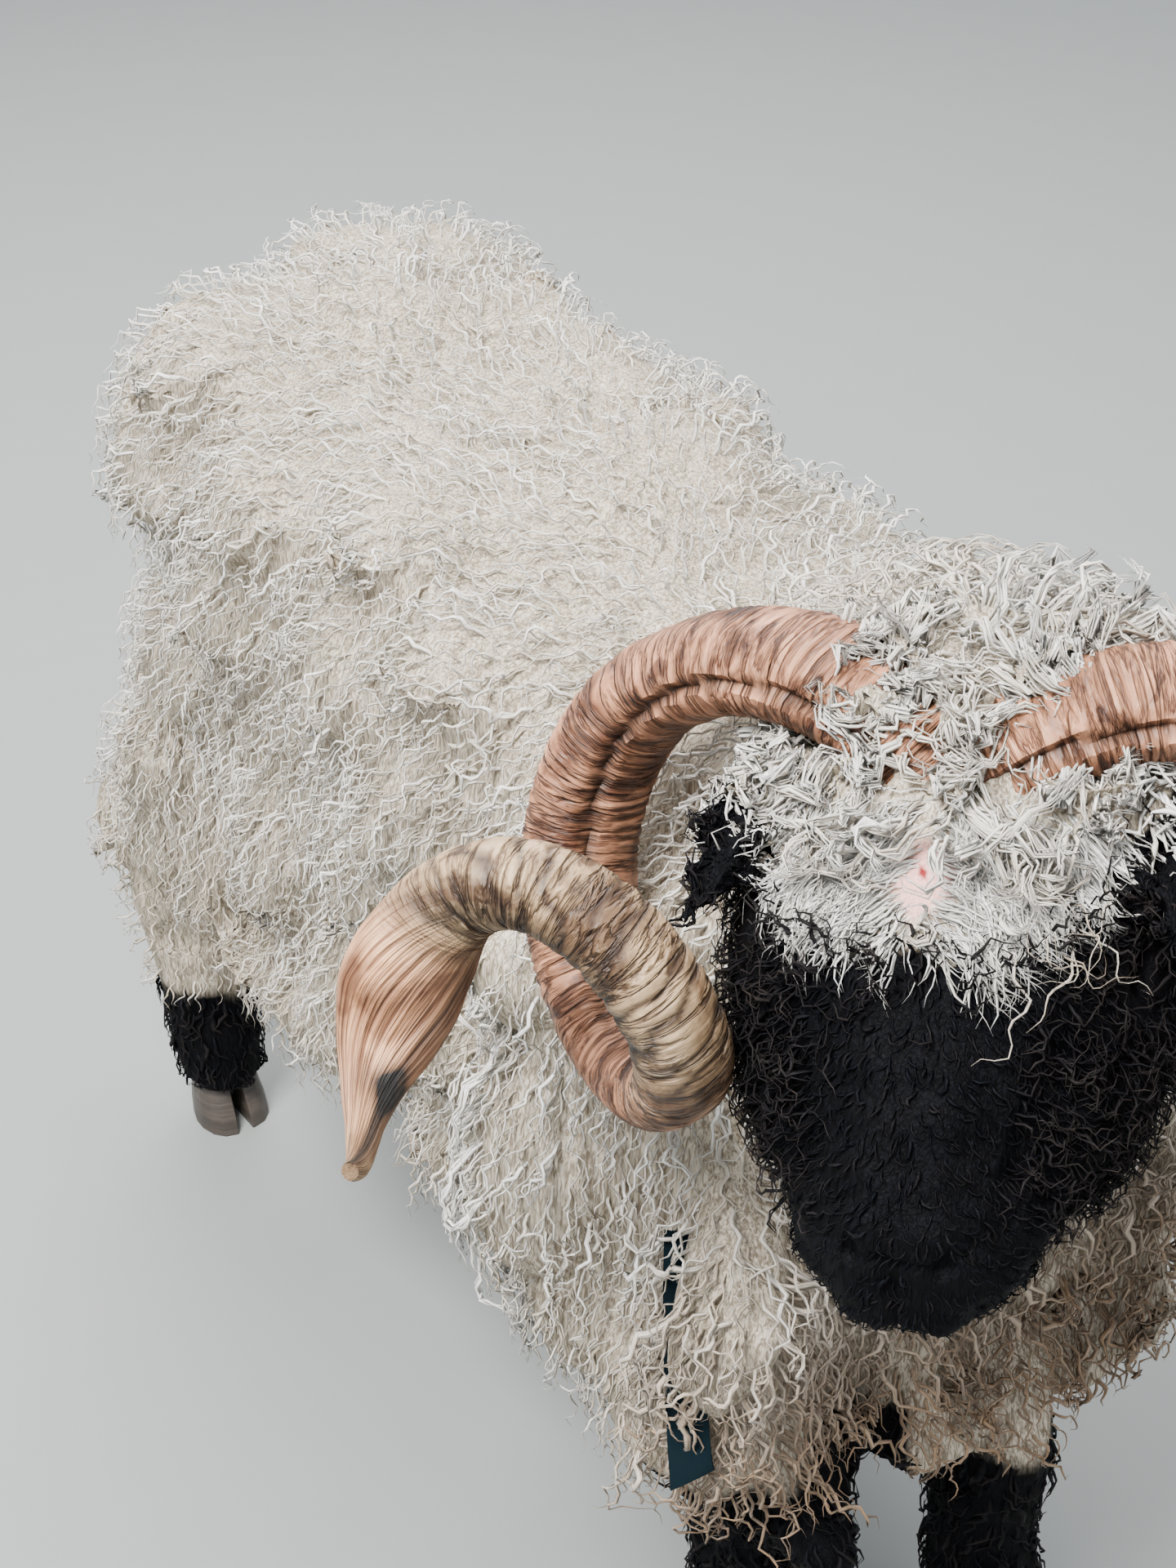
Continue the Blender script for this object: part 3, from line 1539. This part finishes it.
def plain_tint(tone: float, dirt: float) -> Field:
    """Colour by one tone, uneven in patches.

    Args:
        tone: How light it is.
        dirt: How stained it is.

    Returns:
        A function from places to tints.
    """
    def tint(spots: np.ndarray) -> np.ndarray:
        """Colour at places."""
        stain = np.clip(dirt + 0.8 * dirt * ripple(spots, 0.03, 10.0), 0, 1)
        return columns(tone + 0.15 * ripple(spots, 0.04, 9.0), 0.0, stain, 0.0)

    return tint


@dataclass
class Coat:
    """All wool and fur."""

    skin: Skin
    bare: np.ndarray
    fleece: LockStyle = LockStyle(Wool.FLEECE, 13600, 0.049, 0.0021, 0.0013, 10, 0.020, 0.0027, 0.017,
                                  hook=1.0, hang=0.35, stray=0.20, deep=0.003, ruffle=1.6, shade=0.80)
    curtain: LockStyle = LockStyle(Wool.FLEECE, 320, 0.075, 0.0024, 0.0015, 12, 0.024, 0.0028, 0.010,
                                   hook=0.6, hang=0.6, stray=0.10, deep=0.012, clump=4)
    chest: LockStyle = LockStyle(Wool.FLEECE, 560, 0.070, 0.0034, 0.0017, 12, 0.024, 0.0040, 0.012,
                                 hook=3.0, hang=0.3, stray=0.5, deep=0.012)
    mane: LockStyle = LockStyle(Wool.FLEECE, 160, 0.105, 0.0022, 0.0014, 16, 0.034, 0.0042, 0.022,
                                hook=3.4, stray=0.9, deep=0.014)
    topknot: LockStyle = LockStyle(Wool.TOPKNOT, 2500, 0.066, 0.0018, 0.0013, 9, 0.030, 0.0042, 0.027,
                                   hook=2.8, stray=0.35, deep=0.004, shade=0.60, clump=5, spread=0.004)
    wisps: LockStyle = LockStyle(Wool.TOPKNOT, 420, 0.048, 0.0017, 0.0012, 10, 0.020, 0.0036, 0.018,
                                 hook=2.6, stray=0.45, deep=0.006, shade=0.3)
    brow: LockStyle = LockStyle(Wool.TOPKNOT, 2400, 0.034, 0.0013, 0.0007, 6, 0.024, 0.0016, 0.0055,
                                hook=0.9, stray=0.20, root=0.001)
    fringe: LockStyle = LockStyle(Wool.TOPKNOT, 300, 0.066, 0.0024, 0.0012, 11, 0.030, 0.0040, 0.010,
                                  hook=2.2, stray=0.3, deep=0.004)
    curls: LockStyle = LockStyle(Wool.TOPKNOT, 16, 0.060, 0.0010, 0.0008, 14, 0.024, 0.0030, 0.008,
                                 hook=2.0, stray=0.3, deep=0.008)
    face: LockStyle = LockStyle(Wool.FACE, 5200, 0.0115, 0.0014, 0.0006, 3, 0.020, 0.0007, 0.0035,
                                hook=1.0, stray=0.35, root=0.001)
    cheeks: LockStyle = LockStyle(Wool.FACE, 2900, 0.029, 0.0015, 0.0009, 6, 0.014, 0.0021, 0.0130,
                                  hook=2.4, stray=0.6, root=0.001)
    boots: LockStyle = LockStyle(Wool.BOOT, 1900, 0.030, 0.0036, 0.0014, 5, 0.018, 0.0020, 0.006,
                                 hook=1.2, stray=0.35, root=0.001)

    def build(self) -> None:
        """Grow every kind of lock on its part of the skin."""
        body, head = self.skin.body, self.skin.head
        pale = plain_tint(0.97, 0.0)
        fleece = (fleece_tint, unwrap_body, fleece_length)
        kinds = (
            ("fleece", self.fleece, body, white_body, fleece_flow, *fleece),
            ("shoulder_edge", self.curtain, body, curtain_weight, boot_flow, plain_tint(0.88, 0.03),
             unwrap_body, everywhere),
            ("chest_curls", self.chest, body, chest_weight, fleece_flow, *fleece),
            ("mane", self.mane, body, MANE, fleece_flow, plain_tint(0.45, 0.18), unwrap_body, everywhere),
            ("boot_wool", self.boots, body, black_on_body, boot_flow, plain_tint(0.4, 0.0), unwrap_body,
             everywhere),
            ("topknot", self.topknot, head, crown_weight, topknot_flow, plain_tint(0.90, 0.08),
             unwrap_head, topknot_length),
            ("topknot_wisps", self.wisps, head, crown_weight, topknot_flow, plain_tint(0.85, 0.08),
             unwrap_head, topknot_length),
            ("brow_hair", self.brow, head, brow_weight, topknot_flow, pale, unwrap_head, everywhere),
            ("ear_fringe", self.fringe, head, EAR_FRINGE, fringe_flow, pale, unwrap_head, everywhere),
            ("stray_curls", self.curls, head, STRAY_CURLS, fringe_flow, plain_tint(0.2, 0.25),
             unwrap_head, everywhere),
            ("face_hair", self.face, head, face_weight, face_flow, plain_tint(0.2, 0.0), unwrap_head,
             everywhere),
            ("cheek_wool", self.cheeks, head, cheek_weight, cheek_flow, plain_tint(0.6, 0.0), unwrap_head,
             everywhere))
        for k, (title, style, *ground) in enumerate(kinds):
            Locks(title, style, Ground(*ground), SEED + k, self.bare).build()


# ---- horns ---------------------------------------------------------------------------------------------


@dataclass
class Horn:
    """One horn: a flattened cone wound round an axis, with rings, a keel and a spoon-shaped end."""

    side: int
    rings: int = 700
    sides: int = 40
    first: float = -0.03
    left_spread: float = 0.045
    grain_radius: float = 0.03
    band_spacing: float = 0.0175
    ring_spacing: tuple[float, float] = (0.0066, 0.0014)
    easing: int = 12
    sharp: float = 50.0
    # Part of the sweep that keeps locks out, and how many spheres fill it
    kept_clear: tuple[float, float, int] = (0.10, 0.95, 150)
    centre: Vector = field(default_factory=lambda: Vector((0.098, -0.097, -0.122)))
    axis_out: float = math.radians(40.9)
    axis_up: float = math.radians(47.9)
    start: float = math.radians(9.0)
    sweep: float = math.radians(618.0)
    coil: Triple = (0.129, -0.181, 0.087)
    rise: tuple[float, float] = (0.280, 0.014)
    sections: tuple[Triple, ...] = (
        (0.00, 0.074, 0.050), (0.12, 0.069, 0.049), (0.20, 0.065, 0.047), (0.30, 0.057, 0.042),
        (0.40, 0.051, 0.039), (0.50, 0.048, 0.038), (0.60, 0.046, 0.039), (0.68, 0.050, 0.044),
        (0.74, 0.069, 0.046), (0.78, 0.070, 0.040), (0.82, 0.052, 0.029), (0.86, 0.031, 0.021),
        (0.90, 0.018, 0.018), (0.95, 0.012, 0.014), (1.00, 0.007, 0.008))
    bends: tuple[tuple[float, float, Triple], ...] = (
        (0.62, 0.12, (0.001, 0.008, 0.001)), (0.77, 0.10, (-0.009, 0.001, -0.003)),
        (1.00, 0.10, (-0.001, -0.009, -0.002)))

    def line(self, share: np.ndarray) -> np.ndarray:
        """Centre of the horn in the head's frame, for the left side.

        Args:
            share: Shares of its sweep.

        Returns:
            Places, one a row.
        """
        axis = self.axis()
        up = Vector((0, 0, 1)) - axis * axis.z
        up.normalize()
        back = up.cross(axis)
        turn = self.start + self.sweep * share
        reach = self.coil[0] + self.coil[1] * share + self.coil[2] * share ** 2
        spread = np.sin(np.minimum(1.0, 2 * share) * math.pi / 2)
        spread = (self.left_spread if self.side > 0 else 0.0) * spread
        places = np.outer(np.cos(turn) * reach, np.array(up))
        places += np.outer(np.sin(turn) * reach, np.array(back))
        places += np.array(self.centre) + np.outer(spread, np.array([1.0, 0.0, 0.0]))
        places += np.outer(self.rise[0] * share + self.rise[1] * share ** 2, np.array(axis))
        for middle, width, move in self.bends:
            places += np.outer(np.exp(-((share - middle) / width) ** 2), np.array(move))
        return places

    def axis(self) -> Vector:
        """Axis that the horn winds round."""
        return Vector((math.cos(self.axis_out) * math.cos(self.axis_up),
                       -math.sin(self.axis_out) * math.cos(self.axis_up), math.sin(self.axis_up)))

    def placed(self, local: np.ndarray) -> np.ndarray:
        """Put places of the left horn's form on this side of the head, in the frame."""
        return from_head(local * np.array([self.side, 1.0, 1.0])) + np.array(HEAD)[:3, 3]

    def room(self) -> np.ndarray:
        """Fill the horn with spheres, so that no lock runs through it.

        Returns:
            Place and radius of each sphere.
        """
        share = np.linspace(*self.kept_clear)
        knots, wide, deep = np.array(self.sections).T
        radius = np.interp(share, knots, (wide + deep) / 4)
        return np.concatenate([self.placed(self.line(share)), radius[:, None]], 1)

    def build(self) -> None:
        """Wind the horn, ring it and dress it."""
        share = np.linspace(self.first, 1.0, self.rings)
        line = self.line(share)
        length = np.concatenate([[0.0], np.cumsum(np.linalg.norm(np.diff(line, axis=0), axis=1))])
        ahead = unit(self.line(share + 0.002) - self.line(share - 0.002))
        axis = np.array(self.axis())
        across = unit(axis - ahead * (ahead @ axis)[:, None])
        outward = np.cross(ahead, across)
        knots, *widths = np.array(self.sections).T
        wide, deep = (self.eased(np.interp(share, knots, values) / 2) for values in widths)
        turn = np.linspace(0, 2 * math.pi, self.sides, endpoint=False)
        rows, growth, wound = [], [], []
        for k in range(self.rings):
            shape, marks = self.section(share[k], length[k], turn)
            ring = line[k] + across[k] * (wide[k] * shape * np.cos(turn))[:, None]
            rows.append(ring + outward[k] * (deep[k] * shape * np.sin(turn))[:, None])
            growth.append(marks)
            wound.append(columns(*self.grain_radius * np.array([np.cos(turn), np.sin(turn)]), length[k]))
        self.make_piece(self.placed(np.concatenate(rows)), np.concatenate(growth), np.concatenate(wound))

    def eased(self, values: np.ndarray) -> np.ndarray:
        """Smooth a row of values."""
        kernel = np.hanning(2 * self.easing + 3)[1:-1]
        return np.convolve(np.pad(values, self.easing, mode="edge"), kernel / kernel.sum(), mode="valid")

    def section(self, share: float, length: float, turn: np.ndarray) -> tuple[np.ndarray, np.ndarray]:
        """Outline and markings of one ring.

        Args:
            share: Share of the sweep.
            length: Way from the base, in metres.
            turn: Angles round the horn.

        Returns:
            Factors on the radius, and growth, band, dark and groove at each angle.
        """
        def bump(angle: float, width: float) -> np.ndarray:
            """Rise at an angle, 1 at its top."""
            return np.exp(-(np.angle(np.exp(1j * (turn - angle))) / width) ** 2)

        young = smooth_step(share, 0.66, 0.74)
        late = smooth_step(share, 0.36, 0.48) * (1 - young)
        base = (1 - late) * (1 - young)
        line = float(np.interp(share, (0.0, 0.06, 0.10, 0.15, 0.20), (-0.27, 0.05, 0.45, 0.90, 1.15)))
        groove = bump(line, 0.12) * (1 - smooth_step(share, 0.26, 0.36))
        keel = 0.06 * bump(-0.9, 0.5) + 0.05 * bump(-2.3, 0.6)
        wander = 0.0026 * np.sin(2 * turn + 34 * share) + 0.0016 * np.sin(5 * turn - 61 * share + 1.0)
        slanted = (length + wander + 0.009 * np.sin(turn + 0.6)) / self.band_spacing
        phase = np.mod(slanted + 0.22 * math.sin(3.1 * slanted.mean()), 1.0)
        step = np.exp(-(np.abs(phase - 0.5) / 0.15) ** 2)
        ring_width = self.ring_spacing[0] + self.ring_spacing[1] * math.sin(37 * length)
        ridge = 0.5 + 0.5 * np.cos(2 * math.pi * (length + wander) / ring_width)
        shape = 1 + keel - 0.17 * groove + base * (0.045 * ridge + 0.012 * np.sin(7 * turn + 25 * share))
        shape = shape + late * (0.020 * ridge - 0.055 * step)
        shape = shape + young * 0.018 * np.sin(13 * turn + 4 * share)
        band = late * 0.95 * step + base * (0.40 * (1 - ridge) ** 3 + 0.12 * step) + 0.75 * groove
        narrow = math.exp(-((share - 0.868) / 0.022) ** 2) * (0.15 + 0.85 * bump(2.1, 1.0))
        edge = 0.65 * late * bump(0.30, 0.5) + 0.40 * base * bump(2.1, 0.4) * (share > 0.18)
        below = 0.7 * smooth_step(share, 0.84, 0.88) * bump(2.4, 0.5)
        dark = narrow + edge + below + 0.6 * young * bump(2.05, 0.3)
        return shape, columns(max(share, 0.0), np.clip(band, 0, 1), np.clip(dark, 0, 1), groove)

    def make_piece(self, places: np.ndarray, growth: np.ndarray, wound: np.ndarray) -> None:
        """Make the mesh, close its ends and dress it.

        Args:
            places: Corners, ring by ring.
            growth: Markings of the corners.
            wound: Place of each corner round and along the horn.
        """
        name = "horn_shell_" + side_word(self.side)
        mesh = bpy.data.meshes.new(name)
        count = len(places)
        ring = np.arange(self.rings - 1)[:, None] * self.sides
        side = np.arange(self.sides)
        low, following = (ring + side[None]).ravel(), (ring + ((side + 1) % self.sides)[None]).ravel()
        quads = columns(low, following, following + self.sides, low + self.sides)
        ends = [list(range(self.sides - 1, -1, -1)), list(range(count - self.sides, count))]
        mesh.from_pydata(places.tolist(), [], quads.tolist() + ends)
        thing = new_thing(name, mesh)
        paint(thing, "growth", growth)
        layer = mesh.attributes.new("wound", "FLOAT_VECTOR", "POINT")
        layer.data.foreach_set("vector", wound.astype(np.float32).ravel())
        turn_outward(thing, self.sharp)
        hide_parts("horn_left" if self.side > 0 else "horn_right")
        dress(thing, HornFinish().material)


# ---- eyes, claws and strap -----------------------------------------------------------------------------


@dataclass
class Eye:
    """One eyeball with its iris and level pupil."""

    side: int
    radius: float = 0.0143
    bulge: float = 0.0012
    gaze: Triple = (0.86, -0.42, 0.28)
    level: Triple = (0.0, -1.0, 0.1)
    pupil: tuple[float, float] = (0.36, 0.16)

    def build(self) -> None:
        """Make the ball, raise its front and paint the iris."""
        centre = HEAD @ Vector((self.side * EYE_PLACE.x, EYE_PLACE.y, EYE_PLACE.z))
        bpy.ops.object.select_all(action="DESELECT")
        bpy.ops.mesh.primitive_uv_sphere_add(segments=48, ring_count=28, radius=self.radius,
                                             location=centre)
        thing = bpy.context.object
        thing.name = "eyeball_" + side_word(self.side)
        bpy.ops.object.transform_apply(location=True, rotation=True, scale=True)
        gaze = (HEAD.to_3x3() @ Vector((self.side * self.gaze[0], *self.gaze[1:]))).normalized()
        level = (HEAD.to_3x3() @ Vector(self.level)).normalized()
        level = (level - gaze * level.dot(gaze)).normalized()
        rise = np.array(gaze.cross(level))
        places = vertices_of(thing)
        rays = unit(places - np.array(centre))
        front = rays @ np.array(gaze)
        across, upright = rays @ np.array(level), rays @ rise
        reach = np.hypot(across, upright) + (front < 0) * 2
        bulged = places + rays * (self.bulge * np.exp(-(reach / 0.5) ** 2))[:, None]
        move_vertices(thing, bulged)
        pupil = np.maximum(np.abs(across) / self.pupil[0], np.abs(upright) / self.pupil[1])
        pupil = 1 - smooth_step(pupil, 0.85, 1.05)
        paint(thing, "gaze", columns(np.clip(reach, 0, 1), pupil * (front > 0), 0.0, 1.0))
        bpy.ops.object.shade_smooth()
        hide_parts("eye_left" if self.side > 0 else "eye_right")
        dress(thing, EyeFinish().material)


@dataclass
class Claws:
    """The eight claws, rounded from their solids."""

    edge: float = 0.0016
    bevelled: float = 35.0
    sharp: float = 40.0

    def build(self) -> None:
        """Round each claw's edges and swell its wall a little."""
        finish = HoofFinish().material
        for leg in LEGS:
            for word in ("left", "right"):
                node = leg.replace("leg", "") + "_claw_" + word
                thing = copy_nodes(node + "_hoof", [node])
                apply_modifier(thing, "BEVEL", width=self.edge, segments=3, limit_method="ANGLE",
                               angle_limit=math.radians(self.bevelled))
                apply_modifier(thing, "SUBSURF", levels=1, render_levels=1, subdivision_type="SIMPLE")
                select_only(thing)
                bpy.ops.object.shade_smooth_by_angle(angle=math.radians(self.sharp))
                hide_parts(node)
                dress(thing, finish)


@dataclass
class Strap:
    """Loose strap end at the chest."""

    points: tuple[Vector, ...] = (Vector((-0.175, -0.345, 0.525)), Vector((-0.192, -0.368, 0.460)),
                                  Vector((-0.205, -0.402, 0.383)))
    width: float = 0.024
    thickness: float = 0.0022
    turn: float = math.radians(35.0)
    slant: float = 0.020
    rows: int = 60
    columns: int = 10
    threads: tuple[float, float] = (26.0, 180.0)
    rounding: float = 0.0005
    sharp: float = 40.0

    def place(self, share: float) -> Vector:
        """Middle of the strap at a share of its length."""
        first, second, third = self.points
        return first.lerp(second, share).lerp(second.lerp(third, share), share) + SHIFT

    def build(self) -> None:
        """Lay a grid along the strap's curve and give it its thickness."""
        bpy.ops.object.select_all(action="DESELECT")
        bpy.ops.mesh.primitive_grid_add(x_subdivisions=self.columns, y_subdivisions=self.rows, size=1.0)
        thing = bpy.context.object
        thing.name = "strap_webbing"
        across = Vector((math.cos(self.turn), -math.sin(self.turn), 0))
        face = Vector((-math.sin(self.turn), -math.cos(self.turn), 0))
        uv = thing.data.uv_layers.new(name="Weave")
        for loop in thing.data.loops:
            flat = thing.data.vertices[loop.vertex_index].co
            uv.uv[loop.index].vector = (flat.x * self.threads[0], flat.y * self.threads[1])
        for corner in thing.data.vertices:
            side, share = corner.co.x, 0.5 - corner.co.y
            drop = Vector((0, 0, self.slant * (side + 0.5) * share ** 8))
            crown = 0.0010 * (1 - 4 * side * side)
            corner.co = self.place(share) + across * self.width * side + face * crown + drop
        for stray in [layer for layer in thing.data.uv_layers if layer.name != "Weave"]:
            thing.data.uv_layers.remove(stray)
        apply_modifier(thing, "SOLIDIFY", thickness=self.thickness, offset=0.0)
        apply_modifier(thing, "BEVEL", width=self.rounding, segments=2, limit_method="ANGLE")
        turn_outward(thing, self.sharp)
        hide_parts("strap_end")
        dress(thing, WebbingFinish().material)


# ---- studio --------------------------------------------------------------------------------------------


@dataclass
class Studio:
    """Floor, soft light and the camera at the photograph's angle."""

    camera_place: Triple = (-0.726, -1.148, 1.509)
    yaw: float = math.radians(31.3)
    pitch: float = math.radians(35.0)
    roll: float = math.radians(-0.2)
    lens: float = 56.25
    sensor: float = 36.0
    floor: float = 14.0
    lamps: tuple[tuple[str, Triple, float, float], ...] = (
        ("key", (-1.5, -0.6, 3.4), 1.4, 430.0), ("fill", (2.4, -2.2, 2.2), 2.6, 40.0),
        ("rear", (0.8, 2.4, 3.2), 2.2, 250.0))
    sky: tuple[float, float, float, float] = (0.86, 0.92, 1.0, 1.0)
    sky_strength: float = 1.05

    def build(self) -> None:
        """Set up the floor, the lights and the camera."""
        bpy.ops.object.select_all(action="DESELECT")
        bpy.ops.mesh.primitive_plane_add(size=self.floor, location=(0, 0, 0))
        floor = bpy.context.object
        floor.name = "floor"
        floor.data.materials.append(FloorFinish().material)
        for lamp in self.lamps:
            self.light(*lamp)
        world = bpy.data.worlds.new("studio")
        world.use_nodes = True
        sky = world.node_tree.nodes["Background"].inputs
        sky["Color"].default_value, sky["Strength"].default_value = self.sky, self.sky_strength
        bpy.context.scene.world = world
        camera = new_thing("camera", bpy.data.cameras.new("camera"))
        camera.data.lens = self.lens
        camera.data.sensor_width = self.sensor
        place = Matrix.Translation(Vector(self.camera_place) + SHIFT)
        aim = Matrix.Rotation(-self.yaw, 4, "Z") @ Matrix.Rotation(math.pi / 2 - self.pitch, 4, "X")
        camera.matrix_world = place @ aim @ Matrix.Rotation(self.roll, 4, "Z")
        bpy.context.scene.camera = camera

    def light(self, name: str, place: Triple, size: float, power: float) -> None:
        """Hang a soft area light that points at the ram.

        Args:
            name: Name of the light.
            place: Where it hangs.
            size: Width of its face.
            power: Its watts.
        """
        lamp = bpy.data.lights.new(name, "AREA")
        lamp.energy = power
        lamp.size = size
        aim = (Vector((0, 0, 0.5)) - Vector(place)).to_track_quat("-Z", "Y")
        new_thing(name, lamp).matrix_world = Matrix.Translation(place) @ aim.to_matrix().to_4x4()


def main() -> None:
    """Build the ram and its studio."""
    logging.basicConfig(level=logging.INFO, format="%(name)s %(message)s")
    Studio().build()
    skin = Skin()
    skin.build()
    horns = [Horn(side) for side in (1, -1)]
    spot = HEAD @ Vector((*BARE_SPOT, BARE_HEIGHT))
    Coat(skin, np.concatenate([*(horn.room() for horn in horns), [[*spot, BARE_REACH]]])).build()
    skin.join()
    for horn in horns:
        horn.build()
        Eye(horn.side).build()
    Claws().build()
    Strap().build()


if __name__ == "__main__":
    main()
